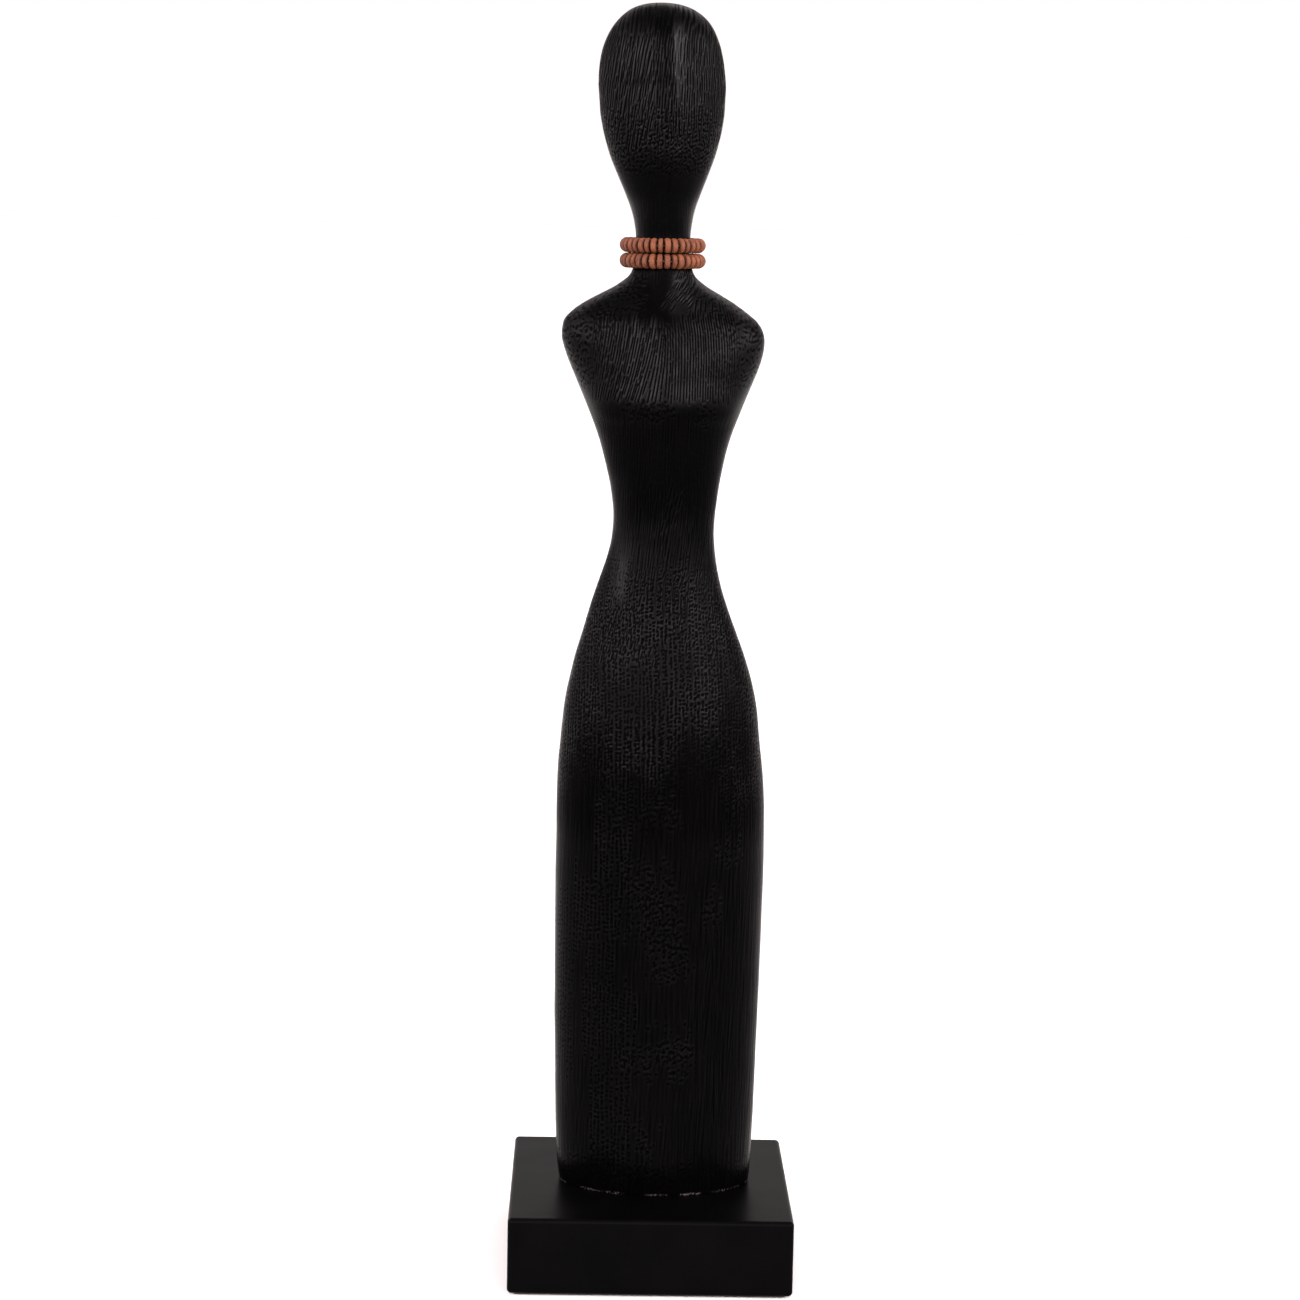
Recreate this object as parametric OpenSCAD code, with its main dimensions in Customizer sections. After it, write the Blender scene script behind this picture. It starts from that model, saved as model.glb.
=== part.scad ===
/* [Plinth] */
// Length of each side of the square plinth
plinth_side = 136; // [120:1:160]
// Thickness of the plinth, without the pad under it
plinth_height = 37; // [30:0.5:45]
// Radius of the eased edges of the plinth
plinth_edge = 2.2; // [1:0.1:4]
// Thickness of the rubber sheet glued under the plinth
pad_thickness = 1; // [0.5:0.1:2]
// How far the rubber sheet stays inside the plinth's edges
pad_inset = 3; // [2:0.5:8]

/* [Figure] */
// Height of the carved figure above the plinth
figure_height = 570; // [565:1:580]
// Height of the widest place of the head, where the crown begins
crown_start = 530; // [526:1:532]
// How full the crown is: 2 is an ellipse, higher is fuller
crown_fullness = 2.42; // [2:0.02:3]
// Angle by which the ridge of the face is turned to the figure's left
ridge_turn = 10; // [0:1:20]

/* [Bead strands] */
// Radius of the thread's loop, from the axis of the neck
strand_radius = 17; // [16.9:0.1:18]
// Height of the lower strand's thread above the foot of the figure
strand_height = 449.9; // [449.9:0.1:451]
// Distance between the two strands
strand_spacing = 7.3; // [7.3:0.1:8]
// Greatest radius of a bead
bead_radius = 3.5; // [3:0.05:3.5]
// Radius of the hole through a bead
bead_hole = 1.05; // [1:0.05:1.3]
// Mean thickness of a bead
bead_thickness = 2.42; // [2:0.01:2.45]
// Number of beads on the upper strand
upper_count = 36; // [30:1:36]
// Number of beads on the lower strand
lower_count = 36; // [30:1:36]
// Radius of the cotton thread
thread_radius = 0.4; // [0.3:0.05:0.6]
// Radius of the knot that closes the thread
knot_radius = 0.85; // [0.7:0.05:0.9]

/* [Fixing screws] */
// Outer diameter of the screw's thread
screw_diameter = 4.5; // [4:0.5:5]
// Length of the screw from the face of its head to its tip
screw_length = 58; // [52:1:62]
// Diameter of the countersunk head
screw_head = 9; // [8:0.5:10]
// Distance of each screw from the middle of the figure's foot
screw_offset = 22; // [16:1:26]

/* [Hidden] */
$fn = 48;

plinth_top = pad_thickness + plinth_height;
neck_x = -2;
foot_x = 2;

screw_recess = 0.5;
rim_height = 0.2;
head_height = (screw_head - screw_diameter) / 2;
screw_gap = 0.15;
thread_pitch = 2;
thread_turns = 14;
screw_root = 1.6;
crest_start = 0.8;
crest_end = 1.1;
tip_length = 5;
slot_width = 1;
slot_depth = 1.4;
bite = 0.05;
overcut = 1;

// Each profile is a list of [height above the foot, value], joined by a smooth curve.
half_width = [
    [0, 46.5], [8, 47.5], [25, 48.3], [60, 49.2], [100, 49.9], [140, 50.4], [180, 50.5],
    [200, 49.9], [218, 48.4], [238, 46.2], [257, 42], [277, 35.4], [297, 29.1],
    [312, 25.3], [325, 24.2], [340, 25.5], [364, 30.8], [383, 37.8], [402, 45.6],
    [411, 48.1], [416, 48], [421, 46.4], [426, 41.3], [431, 34.1], [436, 25],
    [441, 17.2], [446, 14.5], [450, 13.1], [457, 12.9], [464, 13.1], [473, 14.8],
    [482, 18], [492, 22.1], [501, 25.4], [515, 28.7], [530, 29.9]
];
sideways = [
    [0, 2.2], [25, 1.8], [100, 1.9], [180, 2.1], [218, 1.2], [250, 0.9], [290, -0.8],
    [310, 0.1], [328, 1.1], [370, 0.4], [400, 0], [416, -1.2], [426, -2.9], [436, -2.3],
    [444, -2], [466, -2], [500, -3], [530, -3.7], [545, -4.1], [557, -3.9], [563, -3.7],
    [570, -4.3]
];
front_depth = [
    [0, 30], [8, 30.8], [60, 32.5], [130, 35], [180, 36.5], [212, 36], [250, 31],
    [290, 22], [325, 17.5], [340, 18.6], [352, 21.2], [364, 25.2], [373, 28.3],
    [381, 29.8], [390, 29.3], [400, 27.9], [411, 25.8], [421, 23], [429, 19.4],
    [436, 16.6], [442, 15], [446, 14.3], [450, 13.1], [457, 12.9], [464, 13.1],
    [474, 16.6], [484, 20.2], [494, 22.6], [505, 23.8], [515, 24.3], [524, 24.2],
    [530, 23.9]
];
back_depth = [
    [0, 30], [8, 30.8], [60, 32.5], [130, 34.5], [190, 37], [225, 37.5], [255, 34],
    [290, 24], [325, 17.5], [350, 17.5], [390, 20.5], [411, 20], [426, 17],
    [438, 15.2], [446, 14.4], [450, 13.1], [457, 12.9], [464, 13.1], [482, 18.5],
    [505, 26], [530, 31]
];
ridge_height = [
    [0, 0], [470, 0], [486, 0.1], [505, 0.2], [530, 0.3], [570, 0.3]
];

bead_flat = 0.64;
bead_rim = 0.2;
bead_tilt = 3;
bead_shrink = 0.06;
thin_bead = 0.84;
thickness_spread = 0.32;

columns = 40;
quarter = columns / 4;
body_rings = [for (z = [0 : 11.8 : 401]) z];
neck_rings = [for (z = [405 : 4.17 : crown_start]) z];
crown_steps = 10;
crown_open = 0.4;

function last_below(profile, z) =
    max([for (i = [0 : len(profile) - 2]) if (profile[i][0] <= z || i == 0) i]);

function slope_at(profile, i) =
    let (low = max(i - 1, 0))
    let (high = min(i + 1, len(profile) - 1))
    (profile[high][1] - profile[low][1]) / (profile[high][0] - profile[low][0]);

function hermite(a, b, slope_a, slope_b, step, t) =
    a * (1 + 2 * t) * pow(1 - t, 2) + b * (3 - 2 * t) * t * t
    + step * (slope_a * t * pow(1 - t, 2) - slope_b * t * t * (1 - t));

function along(profile, z) =
    let (i = last_below(profile, z))
    let (step = profile[i + 1][0] - profile[i][0])
    let (t = (z - profile[i][0]) / step)
    hermite(
        profile[i][1], profile[i + 1][1],
        slope_at(profile, i), slope_at(profile, i + 1), step, t
    );

// The columns run round the figure from its right side, over the back, to the front.
// The middle column of the front always lies on the ridge of the face.
function column_angle(j) =
    j <= 2 * quarter ? j * 90 / quarter
    : j <= 3 * quarter ? 180 + (j - 2 * quarter) * (90 + ridge_turn) / quarter
    : 270 + ridge_turn + (j - 3 * quarter) * (90 - ridge_turn) / quarter;

function facet(angle) =
    let (across = cos(angle) - sin(ridge_turn))
    1 - abs(across) / (1 + (across < 0 ? 1 : -1) * sin(ridge_turn));

// One level of the figure: an ellipse with its own depth in front and behind,
// whose front rises to the ridge where the level has one.
function ring(z, width, front, back, ridge) = [
    for (j = [0 : columns - 1])
    let (angle = column_angle(j))
    let (depth = angle <= 180 ? back * sin(angle)
        : -front * ((1 - ridge) * -sin(angle) + ridge * facet(angle)))
    [along(sideways, z) + width * cos(angle), depth, z]
];

function body_ring(z) = ring(
    z, along(half_width, z), along(front_depth, z), along(back_depth, z),
    along(ridge_height, z)
);

// The crown closes over the head as a full dome.
function crown_ring(step) =
    let (angle = 90 * step / (crown_steps + crown_open))
    let (rise = pow(sin(angle), 2 / crown_fullness))
    let (shrink = pow(cos(angle), 2 / crown_fullness))
    let (z = crown_start + (figure_height - crown_start) * rise)
    ring(
        z, shrink * along(half_width, crown_start),
        shrink * along(front_depth, crown_start),
        shrink * along(back_depth, crown_start), along(ridge_height, z)
    );

module figure_shape() {
    rings = [
        for (z = body_rings) body_ring(z),
        for (z = neck_rings) body_ring(z),
        for (step = [0 : crown_steps]) crown_ring(step)
    ];
    top = len(rings) - 1;
    apex = len(rings) * columns;
    points = [
        for (level = rings) for (p = level) p,
        [along(sideways, figure_height), 0, figure_height]
    ];
    sides = [
        for (i = [0 : top - 1]) for (j = [0 : columns - 1])
        let (a = i * columns + j)
        let (b = i * columns + (j + 1) % columns)
        for (side = [[a, a + columns, b + columns], [a, b + columns, b]]) side
    ];
    foot = [for (j = [0 : columns - 1]) j];
    crown = [
        for (j = [0 : columns - 1])
        [top * columns + j, apex, top * columns + (j + 1) % columns]
    ];
    polyhedron(points, concat(sides, [foot], crown), convexity = 8);
}

// The figure is carved from one block, with two holes that the screws have cut.
module carved_figure() {
    hole_depth = screw_length - plinth_height + screw_recess + overcut;
    color([0.09, 0.085, 0.08])
    translate([0, 0, plinth_top])
    difference() {
        figure_shape();
        for (side = [-1, 1])
        translate([foot_x + side * screw_offset, 0, -overcut])
        cylinder(h = hole_depth + overcut, r = screw_diameter / 2 + bite);
    }
}

module plinth_block() {
    middle = plinth_side / 2 - plinth_edge;
    hull()
    for (x = [-middle, middle], y = [-middle, middle])
    for (z = [pad_thickness + plinth_edge, plinth_top - plinth_edge])
    translate([x, y, z])
    sphere(plinth_edge, $fn = 24);
}

// The plinth is drilled through and countersunk from below for both screws.
module plinth() {
    color([0.07, 0.07, 0.07])
    difference() {
        plinth_block();
        for (side = [-1, 1])
        translate([foot_x + side * screw_offset, 0, pad_thickness]) {
            translate([0, 0, -overcut])
            cylinder(h = plinth_height + 2 * overcut, r = screw_diameter / 2 + screw_gap);
            translate([0, 0, -overcut])
            cylinder(h = screw_recess + overcut + rim_height, r = screw_head / 2 + screw_gap);
            translate([0, 0, screw_recess + rim_height])
            cylinder(
                h = head_height, r1 = screw_head / 2 + screw_gap,
                r2 = screw_diameter / 2 + screw_gap
            );
        }
    }
}

module underside_pad() {
    middle = plinth_side / 2 - pad_inset - plinth_edge;
    color([0.12, 0.12, 0.12])
    linear_extrude(pad_thickness)
    hull()
    for (x = [-middle, middle], y = [-middle, middle])
    translate([x, y])
    circle(plinth_edge, $fn = 24);
}

// A wood screw: a flat countersunk head, a plain shank, a ridged length and a point.
module base_screw(side) {
    crest = screw_diameter / 2;
    ridged = screw_length - tip_length - thread_pitch * thread_turns;
    profile = [
        [0, 0], [screw_head / 2, 0], [screw_head / 2, rim_height],
        [crest, head_height + rim_height],
        [crest, ridged - thread_pitch / 2],
        for (turn = [0 : thread_turns - 1])
        for (point = [[screw_root, 0], [crest, crest_start], [crest, crest_end]])
        [point[0], ridged + thread_pitch * turn + point[1]],
        [screw_root, screw_length - tip_length],
        [0, screw_length]
    ];
    color([0.62, 0.6, 0.55])
    translate([foot_x + side * screw_offset, 0, pad_thickness + screw_recess])
    difference() {
        rotate_extrude()
        polygon(profile);
        for (turn = [0, 90])
        rotate([0, 0, turn])
        translate([-screw_head * 0.3, -slot_width / 2, -overcut])
        cube([screw_head * 0.6, slot_width, slot_depth + overcut]);
    }
}

// A fixed number from 0 to 1 for each bead, different for each kind of variation.
function scatter(i, kind) =
    let (value = sin(i * 127.1 + kind * 311.7) * 437.585)
    value - floor(value);

function thickness(i, kind) =
    bead_thickness * (thin_bead + thickness_spread * scatter(i, kind));

function sum_to(n, kind, i = 0) = i >= n ? 0 : thickness(i, kind) + sum_to(n, kind, i + 1);

// Beads share the loop in proportion to their thickness, so all gaps are alike.
function bead_angle(i, count, kind) =
    360 * (sum_to(i, kind) + thickness(i, kind) / 2) / sum_to(count, kind);

module bead(thick, radius) {
    rotate_extrude()
    polygon([
        [bead_hole, -thick / 2], [radius * bead_flat, -thick / 2],
        [radius, -thick * bead_rim], [radius, thick * bead_rim],
        [radius * bead_flat, thick / 2], [bead_hole, thick / 2]
    ]);
}

module bead_loop(count, kind, height) {
    color([0.66, 0.38, 0.26])
    translate([neck_x, 0, plinth_top + height])
    for (i = [0 : count - 1])
    rotate([0, 0, bead_angle(i, count, kind)])
    translate([strand_radius, 0, 0])
    rotate([
        90 + bead_tilt * (scatter(i, kind + 1) - 0.5),
        bead_tilt * (scatter(i, kind + 2) - 0.5), 0
    ])
    bead(thickness(i, kind), bead_radius * (1 - bead_shrink * scatter(i, kind + 3)));
}

// The thread lies inside the beads and is closed by a knot at the back.
module thread_loop(height) {
    color([0.3, 0.2, 0.14])
    translate([neck_x, 0, plinth_top + height]) {
        rotate_extrude()
        translate([strand_radius, 0])
        circle(thread_radius);
        translate([0, strand_radius, 0])
        rotate([0, 90, 0])
        sphere(knot_radius);
    }
}

module lower_thread() { thread_loop(strand_height); }
module upper_thread() { thread_loop(strand_height + strand_spacing); }
module lower_beads() { bead_loop(lower_count, 1, strand_height); }
module upper_beads() { bead_loop(upper_count, 5, strand_height + strand_spacing); }

carved_figure();
plinth();
underside_pad();
base_screw(-1);  // base_screw_left
base_screw(1);  // base_screw_right
lower_thread();
lower_beads();
upper_thread();
upper_beads();
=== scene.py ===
import math
import random

import bpy
import numpy as np
from mathutils import Matrix, Vector


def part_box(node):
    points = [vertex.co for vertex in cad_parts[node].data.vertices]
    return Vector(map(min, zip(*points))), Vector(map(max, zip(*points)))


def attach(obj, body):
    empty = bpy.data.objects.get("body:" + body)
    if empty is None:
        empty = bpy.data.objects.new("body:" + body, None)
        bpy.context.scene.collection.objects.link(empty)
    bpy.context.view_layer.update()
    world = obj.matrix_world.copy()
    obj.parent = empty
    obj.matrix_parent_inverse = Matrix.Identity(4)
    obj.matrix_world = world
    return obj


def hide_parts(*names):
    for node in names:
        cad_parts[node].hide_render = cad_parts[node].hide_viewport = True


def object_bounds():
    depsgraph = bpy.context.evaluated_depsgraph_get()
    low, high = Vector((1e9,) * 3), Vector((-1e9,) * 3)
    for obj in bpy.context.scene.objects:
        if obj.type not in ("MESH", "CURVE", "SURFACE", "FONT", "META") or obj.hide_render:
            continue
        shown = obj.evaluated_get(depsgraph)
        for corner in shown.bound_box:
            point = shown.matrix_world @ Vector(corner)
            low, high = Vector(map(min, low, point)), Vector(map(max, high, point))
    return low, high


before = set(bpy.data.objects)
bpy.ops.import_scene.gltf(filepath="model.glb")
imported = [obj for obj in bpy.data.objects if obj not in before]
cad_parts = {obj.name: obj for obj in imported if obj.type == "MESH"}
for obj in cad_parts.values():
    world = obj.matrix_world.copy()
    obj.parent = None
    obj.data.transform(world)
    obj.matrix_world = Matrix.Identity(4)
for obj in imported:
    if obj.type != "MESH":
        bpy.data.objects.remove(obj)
cad_low, cad_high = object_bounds()

MM = 0.001
scene = bpy.context.scene
plinth_low, plinth_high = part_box("plinth")
figure_low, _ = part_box("carved_figure")


# ------ camera

LENS = 88.87
SENSOR = 36.0
EYE = Vector((-30.6 * MM, -1532.8 * MM, plinth_high.z + 483.7 * MM))
HEADING = Vector((0.01704, 0.99985, 0)).normalized()
TILT = 0.14284
ROLL = 0.0189


def place_camera():
    data = bpy.data.cameras.new("camera")
    data.lens, data.sensor_width = LENS, SENSOR
    camera = bpy.data.objects.new("camera", data)
    scene.collection.objects.link(camera)
    forward = HEADING * math.cos(TILT) - Vector((0, 0, math.sin(TILT)))
    right = forward.cross(Vector((0, 0, 1))).normalized()
    basis = Matrix((right, right.cross(forward), -forward)).transposed()
    basis = basis @ Matrix.Rotation(ROLL, 3, "Z")
    camera.matrix_world = Matrix.Translation(EYE) @ basis.to_4x4()
    scene.camera = camera


place_camera()
scene.view_settings.view_transform = "Standard"


# ------ helpers

def smoothstep(low, high, value):
    t = np.clip((value - low) / (high - low), 0.0, 1.0)
    return t * t * (3 - 2 * t)


def band(low, high, fade, value):
    """1 between low and high, fading to 0 over the distance fade on both sides."""
    begun = smoothstep(low - fade, low + fade, value)
    return begun * (1 - smoothstep(high - fade, high + fade, value))


def make_mesh(name, points, quads, triangles=None):
    """A smooth shaded mesh object from arrays of points in metres and of corner numbers."""
    mesh = bpy.data.meshes.new(name)
    mesh.vertices.add(len(points))
    mesh.vertices.foreach_set("co", np.asarray(points, np.float32).ravel())
    corners, starts = [np.asarray(quads).ravel()], [np.arange(len(quads)) * 4]
    if triangles is not None:
        corners.append(np.asarray(triangles).ravel())
        starts.append(len(quads) * 4 + np.arange(len(triangles)) * 3)
    corners, starts = np.concatenate(corners), np.concatenate(starts)
    mesh.loops.add(len(corners))
    mesh.loops.foreach_set("vertex_index", corners.astype(np.int32))
    mesh.polygons.add(len(starts))
    mesh.polygons.foreach_set("loop_start", starts.astype(np.int32))
    mesh.update(calc_edges=True)
    mesh.polygons.foreach_set("use_smooth", np.ones(len(starts), bool))
    mesh.update()
    obj = bpy.data.objects.new(name, mesh)
    scene.collection.objects.link(obj)
    return obj


def add_values(obj, name, values):
    """Stores one number per point, which a material can read."""
    layer = obj.data.attributes.new(name, "FLOAT", "POINT")
    layer.data.foreach_set("value", np.asarray(values, np.float32).ravel())


def tube_faces(rings, around, closed):
    """Faces of a tube of rings with the same number of points, and whether its ends meet."""
    last = rings if closed else rings - 1
    r, c = np.meshgrid(np.arange(last), np.arange(around), indexing="ij")
    r, c = r.ravel(), c.ravel()
    up, on = (r + 1) % rings, (c + 1) % around
    return np.stack([r * around + c, r * around + on, up * around + on, up * around + c], 1)


def grid_faces(n, m):
    """Faces of a grid of n by m points."""
    i, j = (k.ravel() for k in np.meshgrid(np.arange(n - 1), np.arange(m - 1), indexing="ij"))
    return np.stack([i * m + j, (i + 1) * m + j, (i + 1) * m + j + 1, i * m + j + 1], 1)


def cad_points(node):
    """The points of a CAD node, in metres and rounded so that equal points are the same."""
    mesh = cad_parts[node].data
    points = np.empty(len(mesh.vertices) * 3)
    mesh.vertices.foreach_get("co", points)
    return np.round(points.reshape(-1, 3), 6)


def value_noise(points, size, seed):
    """Smooth noise from -1 to 1 at points, which have any number of coordinates."""
    grid = np.asarray(points) / size
    cell = np.floor(grid).astype(np.int64)
    part = grid - cell
    part = part * part * (3 - 2 * part)
    total = np.zeros(len(grid))
    for corner in np.ndindex(*(2,) * grid.shape[1]):
        key = seed * 0.731
        weight = np.ones(len(grid))
        for axis, step in enumerate(corner):
            key = key + (cell[:, axis] + step) * (12.9898 + 65.321 * axis)
            weight = weight * (part[:, axis] if step else 1 - part[:, axis])
        total += weight * (np.sin(key) * 43758.5453 % 1.0)
    return total * 2 - 1


# ------ materials

class Nodes:
    """The node tree of a material or a world. Nodes are made in the order of their wiring."""

    def __init__(self, owner):
        owner.use_nodes = True
        self.tree = owner.node_tree
        self.tree.nodes.clear()

    def feed(self, node, inputs):
        for key, value in inputs.items():
            socket = node.inputs[key]
            if isinstance(value, bpy.types.NodeSocket):
                self.tree.links.new(value, socket)
            else:
                socket.default_value = value

    def node(self, kind, inputs=None, **settings):
        node = self.tree.nodes.new("ShaderNode" + kind)
        for key, value in settings.items():
            setattr(node, key, value)
        self.feed(node, inputs or {})
        return node

    def math(self, operation, a, b):
        return self.node("Math", {0: a, 1: b}, operation=operation).outputs[0]

    def spread(self, value, low, high, to_low=0.0, to_high=1.0, **settings):
        inputs = {
            "Value": value, "From Min": low, "From Max": high,
            "To Min": to_low, "To Max": to_high,
        }
        return self.node("MapRange", inputs, clamp=True, **settings).outputs[0]


class Shader(Nodes):
    """A material with one shader, whose constants stay on the shader's own sockets."""

    def __init__(self, name, **constants):
        self.material = bpy.data.materials.new(name)
        super().__init__(self.material)
        output = self.node("OutputMaterial")
        self.surface = self.node("BsdfPrincipled")
        self.feed(output, {"Surface": self.surface.outputs[0]})
        self.finish(**constants)

    def place(self, stretch):
        """The point of the object, in metres, with each axis multiplied by stretch."""
        source = self.node("TexCoord").outputs["Object"]
        return self.node("Mapping", {"Vector": source, "Scale": stretch}).outputs[0]

    def noise(self, scale, detail, rough, stretch=(1, 1, 1)):
        inputs = {
            "Vector": self.place(stretch), "Scale": scale, "Detail": detail, "Roughness": rough,
        }
        return self.node("TexNoise", inputs).outputs["Fac"]

    def attribute(self, name):
        return self.node("Attribute", attribute_name=name).outputs["Fac"]

    def mix(self, factor, a, b):
        node = self.node("Mix", data_type="RGBA")
        self.feed(node, {0: factor, 6: a, 7: b})
        return node.outputs[2]

    def bump(self, height, strength, distance):
        inputs = {"Height": height, "Strength": strength, "Distance": distance}
        return self.node("Bump", inputs).outputs[0]

    def finish(self, **inputs):
        self.feed(self.surface, {key.replace("_", " "): value for key, value in inputs.items()})
        return self.material


def grey(level):
    return level, level, level, 1


def carved_wood():
    shader = Shader("carved_wood", IOR=1.165)
    grain = shader.noise(1600, 4, 0.6, (1, 1, 0.04))
    pores = shader.noise(4200, 2, 0.5, (1, 1, 0.12))
    patches = shader.noise(45, 3, 0.6, (1, 1, 0.5))
    depth = shader.attribute("depth")
    foot_highlight = shader.attribute("foot_highlight")
    cloudy = shader.spread(patches, 0.35, 0.7)
    black = shader.mix(cloudy, grey(0.0003), (0.0006, 0.0005, 0.0005, 1))
    pale = shader.math("MULTIPLY", shader.spread(grain, 0.56, 0.72), 0.5)
    worn = shader.mix(pale, black, (0.0020, 0.0017, 0.0016, 1))
    deep = shader.mix(shader.spread(depth, 0.1, 1.0, 0, 0.6), worn, grey(0.0002))
    # A pale broken line along the front of the foot: a painted highlight.
    flecks = shader.noise(900, 3, 0.6)
    foot_highlight_mask = shader.math("MULTIPLY", foot_highlight, shader.spread(flecks, 0.45, 0.6))
    colour = shader.mix(foot_highlight_mask, deep, (0.09, 0.08, 0.073, 1))
    rough = shader.spread(grain, 0.3, 0.75, 0.22, 0.32)
    rough = shader.math("ADD", rough, shader.spread(patches, 0.3, 0.75, -0.05, 0.06))
    rough = shader.math("ADD", rough, shader.spread(depth, 0.2, 1.0, 0.0, 0.08))
    height = shader.math("MULTIPLY", grain, 0.7)
    height = shader.math("ADD", height, shader.math("MULTIPLY", pores, 0.3))
    # The reflection level follows polish on the crests, and painted highlight and painted shade in
    # set places.
    return shader.finish(
        Base_Color=colour, Roughness=rough, Specular_IOR_Level=shader.attribute("polish_and_painted_light"),
        Normal=shader.bump(height, 0.35, 0.00012),
    )


def plinth_wood():
    shader = Shader("plinth_wood", IOR=1.1, Specular_IOR_Level=0.34)
    patches = shader.noise(30, 3, 0.55)
    peel = shader.noise(520, 2, 0.5)
    dust = shader.noise(2600, 2, 0.6)
    wear = shader.attribute("wear")
    rubbed = shader.math("MULTIPLY", wear, shader.spread(dust, 0.5, 0.62))
    cloudy = shader.spread(patches, 0.35, 0.7)
    colour = shader.mix(cloudy, grey(0.0005), (0.0009, 0.0008, 0.0008, 1))
    colour = shader.mix(rubbed, colour, (0.05, 0.042, 0.036, 1))
    rough = shader.spread(patches, 0.3, 0.75, 0.27, 0.34)
    rough = shader.math("ADD", rough, shader.spread(dust, 0.35, 0.7, 0.0, 0.05))
    height = shader.math("ADD", peel, shader.math("MULTIPLY", dust, 0.15))
    normal = shader.bump(height, 0.12, 0.0001)
    return shader.finish(Base_Color=colour, Roughness=rough, Normal=normal)


def bead_wood():
    shader = Shader("bead_wood", IOR=1.33)
    tone_and_shade = shader.attribute("tone_and_shade")
    cloud = shader.noise(420, 3, 0.6)
    fibre = shader.noise(2900, 4, 0.65, (1, 1, 0.22))
    rim_highlight = shader.attribute("rim_highlight")
    # The tone is partly each bead's own, partly a painted shade across the strand.
    dark = shader.mix(tone_and_shade, (0.029, 0.0060, 0.0022, 1), (0.088, 0.0213, 0.0071, 1))
    light = shader.mix(tone_and_shade, (0.060, 0.0145, 0.0052, 1), (0.144, 0.0410, 0.0143, 1))
    colour = shader.mix(shader.spread(cloud, 0.36, 0.66), dark, light)
    pale, dim = shader.spread(fibre, 0.56, 0.74, 0, 0.45), shader.spread(fibre, 0.40, 0.28, 0, 0.5)
    colour = shader.mix(pale, colour, (0.180, 0.067, 0.0287, 1))
    colour = shader.mix(dim, colour, (0.0280, 0.0067, 0.0027, 1))
    # Painted highlight: the bead's rim is painted lighter.
    colour = shader.mix(shader.math("MULTIPLY", rim_highlight, 0.35), colour, (0.174, 0.0575, 0.0237, 1))
    rough = shader.spread(fibre, 0.3, 0.7, 0.72, 0.56)
    height = shader.math("ADD", fibre, shader.math("MULTIPLY", cloud, 0.8))
    normal = shader.bump(height, 0.5, 0.00015)
    return shader.finish(Base_Color=colour, Roughness=rough, Normal=normal)


def speckled(name, noise, dark, light, roughness, bump, **constants):
    """A plain material whose colour, roughness and fine relief follow one noise."""
    shader = Shader(name, **constants)
    speck = shader.noise(*noise, 0.6)
    colour = shader.mix(shader.spread(speck, 0.3, 0.7), dark, light)
    rough = shader.spread(speck, 0.3, 0.7, *roughness)
    return shader.finish(Base_Color=colour, Roughness=rough, Normal=shader.bump(speck, *bump))


def cotton_thread():
    return speckled(
        "cotton_thread", (5000, 3), (0.055, 0.024, 0.014, 1), (0.14, 0.07, 0.042, 1),
        (0.75, 0.92), (0.5, 0.00008), IOR=1.4, Sheen_Weight=0.3,
    )


def pad_rubber():
    return speckled(
        "pad_rubber", (1800, 3), grey(0.018), (0.034, 0.033, 0.032, 1),
        (0.78, 0.9), (0.4, 0.0002), IOR=1.4,
    )


def screw_steel():
    return speckled(
        "screw_steel", (700, 4), (0.46, 0.42, 0.33, 1), (0.60, 0.57, 0.50, 1),
        (0.26, 0.42), (0.2, 0.00005), Metallic=1.0,
    )


def floor_paper():
    shader = Shader("floor_paper", Specular_IOR_Level=0.1)
    fibre = shader.noise(60, 3, 0.6)
    distance = shader.node("VectorMath", {0: shader.place((1, 1, 1))}, operation="LENGTH")
    # Painted light: the floor is paler within about 0.2 to 0.45 m of the middle than further out,
    # filling in the shade the object casts round itself.
    near = shader.mix(shader.spread(fibre, 0.3, 0.7), grey(0.67), grey(0.69))
    far = shader.mix(shader.spread(fibre, 0.3, 0.7), grey(0.5), grey(0.52))
    colour = shader.mix(shader.spread(distance.outputs["Value"], 0.2, 0.45), near, far)
    return shader.finish(Base_Color=colour, Roughness=shader.spread(fibre, 0.3, 0.7, 0.9, 0.95))


# ------ carved figure

CAD_COLUMNS = 40
RIDGE_COLUMN = 30
FRONT_COLUMN = 29
BACK_STEPS = 16
FRONT_STEPS = 26
# In mm: the step in which the way up is measured, how far the surface is raised so that
# the marks lie about half above the CAD surface, and how deep a common mark is.
MEASURE_STEP = 0.1
RAISED = 0.09
COMMON_DEPTH = 0.17
PLAIN_POLISH = 0.15


def fine_column(cad_column):
    """Number of the fine column that lies on a column of the CAD figure."""
    half = CAD_COLUMNS // 2
    return min(cad_column, half) * BACK_STEPS + max(cad_column - half, 0) * FRONT_STEPS


FINE_COLUMNS = fine_column(CAD_COLUMNS)


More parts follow.
